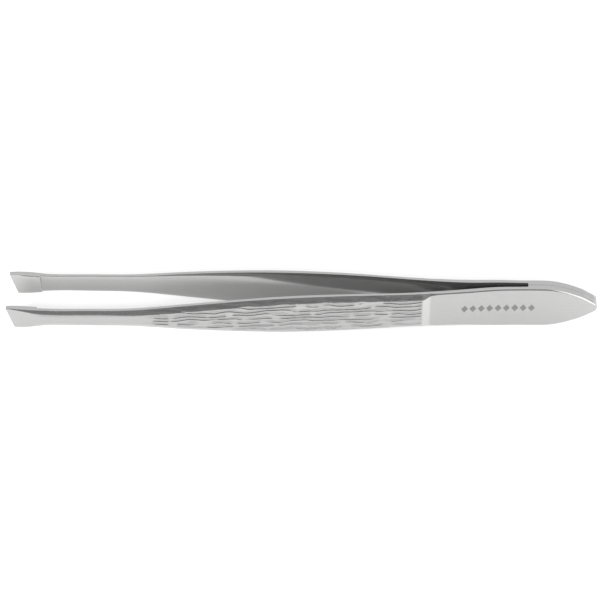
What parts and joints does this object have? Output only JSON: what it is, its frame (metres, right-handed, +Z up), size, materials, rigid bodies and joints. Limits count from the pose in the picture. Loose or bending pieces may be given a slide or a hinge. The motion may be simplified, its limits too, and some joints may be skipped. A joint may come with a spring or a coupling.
{
  "type": "slant tweezers",
  "caption": "Stainless eyebrow tweezers with slanted tips, a textured grip and a flat pointed tail; the two sprung arms close evenly on each other.",
  "frame": {"origin": "middle of the underside of the bounding box, with the tweezers standing on their long edges", "axes": "+X along the length from the tips to the welded tail, Y the way the jaws open and close with the front arm on -Y, +Z up across the width of the arms"},
  "size_m": [0.09, 0.0082, 0.0086],
  "materials": {
    "satin_steel": "satin, brushed along the length",
    "weld_steel": "as fused, hidden between the arms"
  },
  "bodies": {
    "tail": {"front_arm_tail": "satin_steel", "back_arm_tail": "satin_steel", "weld_nugget_fore": "weld_steel", "weld_nugget_aft": "weld_steel", "front_arm_spring": "satin_steel", "back_arm_spring": "satin_steel"},
    "front_blade": {"front_arm_blade": "satin_steel"},
    "back_blade": {"back_arm_blade": "satin_steel"}
  },
  "joints": [
    {"name": "front_squeeze", "type": "hinge", "parent": "tail", "child": "front_blade", "pos_m": [0.02695, -0.00088, 0.0043], "axis": [0, 0, -1], "range_deg": [0, 2.42], "stiffness_Nm_per_rad": 1.6, "deforming": ["front_arm_spring"]},
    {"name": "back_squeeze", "type": "hinge", "parent": "tail", "child": "back_blade", "pos_m": [0.02695, 0.00088, 0.0043], "axis": [0, 0, 1], "range_deg": [0, 2.42], "stiffness_Nm_per_rad": 1.6, "deforming": ["back_arm_spring"]}
  ],
  "couplings": [
    {"joint": "back_squeeze", "follows": "front_squeeze", "ratio": 1}
  ]
}
